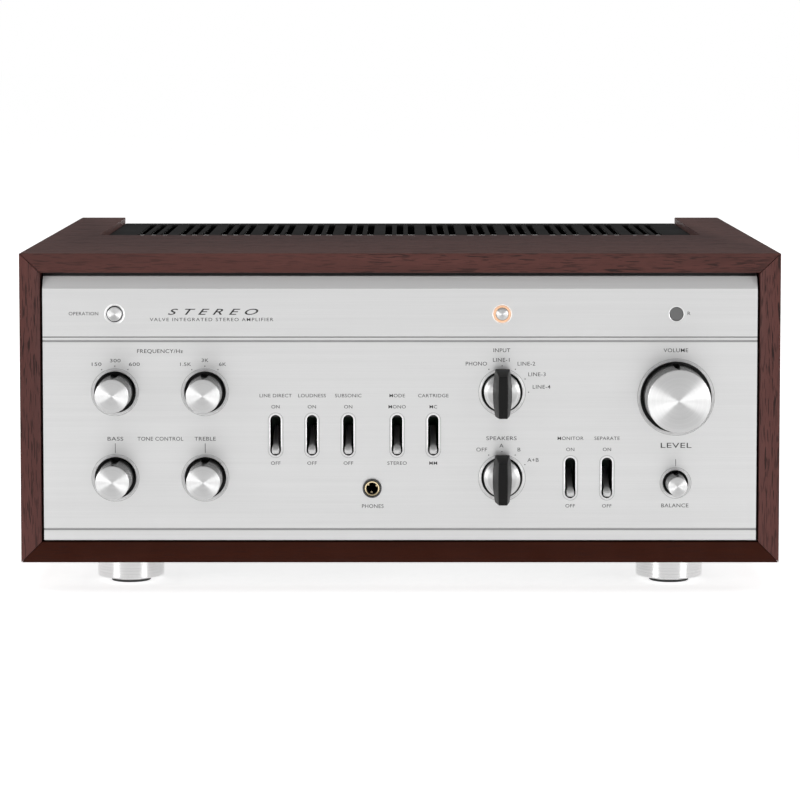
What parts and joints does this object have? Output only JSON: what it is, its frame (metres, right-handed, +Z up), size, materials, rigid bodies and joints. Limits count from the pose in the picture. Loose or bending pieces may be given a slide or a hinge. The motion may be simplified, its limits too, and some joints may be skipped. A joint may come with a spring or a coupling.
{
  "type": "integrated amplifier",
  "caption": "Wood-cased valve integrated amplifier with a brushed aluminium front, round and pointer knobs, lever switches, a push button and rear terminals.",
  "frame": {"origin": "on the surface under the feet, below the middle of the whole object's box", "axes": "+X to the right as seen from the front, +Y towards the back, +Z up"},
  "size_m": [0.44, 0.403, 0.197],
  "materials": {
    "walnut": "satin lacquer",
    "brushed_aluminium": "brushed, clear anodised",
    "turned_aluminium": "turned, satin",
    "black_enamel": "satin",
    "plated_steel": "satin plated",
    "black_plastic": "satin",
    "circuit_board": "satin",
    "valve_glass": "clear",
    "amber_lens": "lit from behind",
    "gold_plate": "gold plated",
    "dark_window": "smoked"
  },
  "bodies": {
    "root": {"cabinet_top": "walnut", "cabinet_left": "walnut", "cabinet_right": "walnut", "cabinet_bottom_rail": "walnut", "vent_grille": "black_enamel", "chassis_tray": "plated_steel", "rear_panel": "black_enamel", "front_panel": "brushed_aluminium", "front_subpanel": "black_enamel", "lamp_ring": "amber_lens", "lamp_cap": "brushed_aluminium", "remote_window": "dark_window", "headphone_jack": "gold_plate", "tone_board": "circuit_board", "selector_board": "circuit_board", "power_transformer": "plated_steel", "output_transformer_left": "black_enamel", "output_transformer_right": "black_enamel", "main_board": "circuit_board", "power_valve_1": "valve_glass", "power_valve_2": "valve_glass", "power_valve_3": "valve_glass", "power_valve_4": "valve_glass", "driver_valve_1": "valve_glass", "driver_valve_2": "valve_glass", "filter_capacitor": "black_plastic", "input_jacks": "gold_plate", "speaker_terminals": "black_plastic", "power_inlet": "black_plastic", "foot_front_left": "turned_aluminium", "foot_front_right": "turned_aluminium", "foot_rear_left": "turned_aluminium", "foot_rear_right": "turned_aluminium"},
    "low_turnover_knob": {"low_turnover_knob": "brushed_aluminium"},
    "high_turnover_knob": {"high_turnover_knob": "brushed_aluminium"},
    "bass_knob": {"bass_knob": "brushed_aluminium"},
    "treble_knob": {"treble_knob": "brushed_aluminium"},
    "volume_knob": {"volume_knob": "brushed_aluminium"},
    "balance_knob": {"balance_knob": "brushed_aluminium"},
    "input_selector": {"input_dial": "brushed_aluminium", "input_pointer": "black_plastic"},
    "speaker_selector": {"speaker_dial": "brushed_aluminium", "speaker_pointer": "black_plastic"},
    "direct_lever": {"direct_lever": "plated_steel"},
    "loudness_lever": {"loudness_lever": "plated_steel"},
    "subsonic_lever": {"subsonic_lever": "plated_steel"},
    "mode_lever": {"mode_lever": "plated_steel"},
    "cartridge_lever": {"cartridge_lever": "plated_steel"},
    "monitor_lever": {"monitor_lever": "plated_steel"},
    "separate_lever": {"separate_lever": "plated_steel"},
    "power_button": {"power_button": "brushed_aluminium"},
    "terminal_cap_a1": {"terminal_cap_a1": "black_plastic"},
    "terminal_cap_a2": {"terminal_cap_a2": "black_plastic"},
    "terminal_cap_a3": {"terminal_cap_a3": "black_plastic"},
    "terminal_cap_a4": {"terminal_cap_a4": "black_plastic"},
    "terminal_cap_b1": {"terminal_cap_b1": "black_plastic"},
    "terminal_cap_b2": {"terminal_cap_b2": "black_plastic"},
    "terminal_cap_b3": {"terminal_cap_b3": "black_plastic"},
    "terminal_cap_b4": {"terminal_cap_b4": "black_plastic"},
    "ground_nut": {"ground_nut": "gold_plate"}
  },
  "joints": [
    {"name": "low_turnover_turn", "type": "hinge", "parent": "root", "child": "low_turnover_knob", "pos_m": [-0.1653, -0.182, 0.1161], "axis": [0, 1, 0], "range_deg": [-30, 30]},
    {"name": "high_turnover_turn", "type": "hinge", "parent": "root", "child": "high_turnover_knob", "pos_m": [-0.1131, -0.182, 0.1161], "axis": [0, 1, 0], "range_deg": [-30, 30]},
    {"name": "bass_turn", "type": "hinge", "parent": "root", "child": "bass_knob", "pos_m": [-0.1653, -0.182, 0.0661], "axis": [0, 1, 0], "range_deg": [-150, 150]},
    {"name": "treble_turn", "type": "hinge", "parent": "root", "child": "treble_knob", "pos_m": [-0.1131, -0.182, 0.0661], "axis": [0, 1, 0], "range_deg": [-150, 150]},
    {"name": "volume_turn", "type": "hinge", "parent": "root", "child": "volume_knob", "pos_m": [0.1601, -0.182, 0.1132], "axis": [0, 1, 0], "range_deg": [-150, 150]},
    {"name": "balance_turn", "type": "hinge", "parent": "root", "child": "balance_knob", "pos_m": [0.1601, -0.182, 0.0631], "axis": [0, 1, 0], "range_deg": [-150, 150]},
    {"name": "input_turn", "type": "hinge", "parent": "root", "child": "input_selector", "pos_m": [0.0592, -0.182, 0.1161], "axis": [0, 1, 0], "range_deg": [-30, 90]},
    {"name": "speaker_turn", "type": "hinge", "parent": "root", "child": "speaker_selector", "pos_m": [0.0592, -0.182, 0.0661], "axis": [0, 1, 0], "range_deg": [-30, 60]},
    {"name": "direct_flip", "type": "hinge", "parent": "root", "child": "direct_lever", "pos_m": [-0.0722, -0.1505, 0.091], "axis": [-1, 0, 0], "range_deg": [0, 32]},
    {"name": "loudness_flip", "type": "hinge", "parent": "root", "child": "loudness_lever", "pos_m": [-0.0511, -0.1505, 0.091], "axis": [-1, 0, 0], "range_deg": [0, 32]},
    {"name": "subsonic_flip", "type": "hinge", "parent": "root", "child": "subsonic_lever", "pos_m": [-0.03, -0.1505, 0.091], "axis": [-1, 0, 0], "range_deg": [0, 32]},
    {"name": "mode_flip", "type": "hinge", "parent": "root", "child": "mode_lever", "pos_m": [-0.0017, -0.1505, 0.091], "axis": [-1, 0, 0], "range_deg": [0, 32]},
    {"name": "cartridge_flip", "type": "hinge", "parent": "root", "child": "cartridge_lever", "pos_m": [0.0193, -0.1505, 0.091], "axis": [-1, 0, 0], "range_deg": [0, 32]},
    {"name": "monitor_flip", "type": "hinge", "parent": "root", "child": "monitor_lever", "pos_m": [0.0989, -0.1505, 0.0661], "axis": [-1, 0, 0], "range_deg": [0, 32]},
    {"name": "separate_flip", "type": "hinge", "parent": "root", "child": "separate_lever", "pos_m": [0.1202, -0.1505, 0.0661], "axis": [-1, 0, 0], "range_deg": [0, 32]},
    {"name": "power_press", "type": "slide", "parent": "root", "child": "power_button", "axis": [0, 1, 0], "range_m": [0, 0.003], "stiffness_N_per_m": 300},
    {"name": "terminal_cap_a1_unscrew", "type": "slide", "parent": "root", "child": "terminal_cap_a1", "axis": [0, 1, 0], "range_m": [0, 0.004]},
    {"name": "terminal_cap_a2_unscrew", "type": "slide", "parent": "root", "child": "terminal_cap_a2", "axis": [0, 1, 0], "range_m": [0, 0.004]},
    {"name": "terminal_cap_a3_unscrew", "type": "slide", "parent": "root", "child": "terminal_cap_a3", "axis": [0, 1, 0], "range_m": [0, 0.004]},
    {"name": "terminal_cap_a4_unscrew", "type": "slide", "parent": "root", "child": "terminal_cap_a4", "axis": [0, 1, 0], "range_m": [0, 0.004]},
    {"name": "terminal_cap_b1_unscrew", "type": "slide", "parent": "root", "child": "terminal_cap_b1", "axis": [0, 1, 0], "range_m": [0, 0.004]},
    {"name": "terminal_cap_b2_unscrew", "type": "slide", "parent": "root", "child": "terminal_cap_b2", "axis": [0, 1, 0], "range_m": [0, 0.004]},
    {"name": "terminal_cap_b3_unscrew", "type": "slide", "parent": "root", "child": "terminal_cap_b3", "axis": [0, 1, 0], "range_m": [0, 0.004]},
    {"name": "terminal_cap_b4_unscrew", "type": "slide", "parent": "root", "child": "terminal_cap_b4", "axis": [0, 1, 0], "range_m": [0, 0.004]},
    {"name": "ground_nut_unscrew", "type": "slide", "parent": "root", "child": "ground_nut", "axis": [0, 1, 0], "range_m": [0, 0.003]}
  ]
}
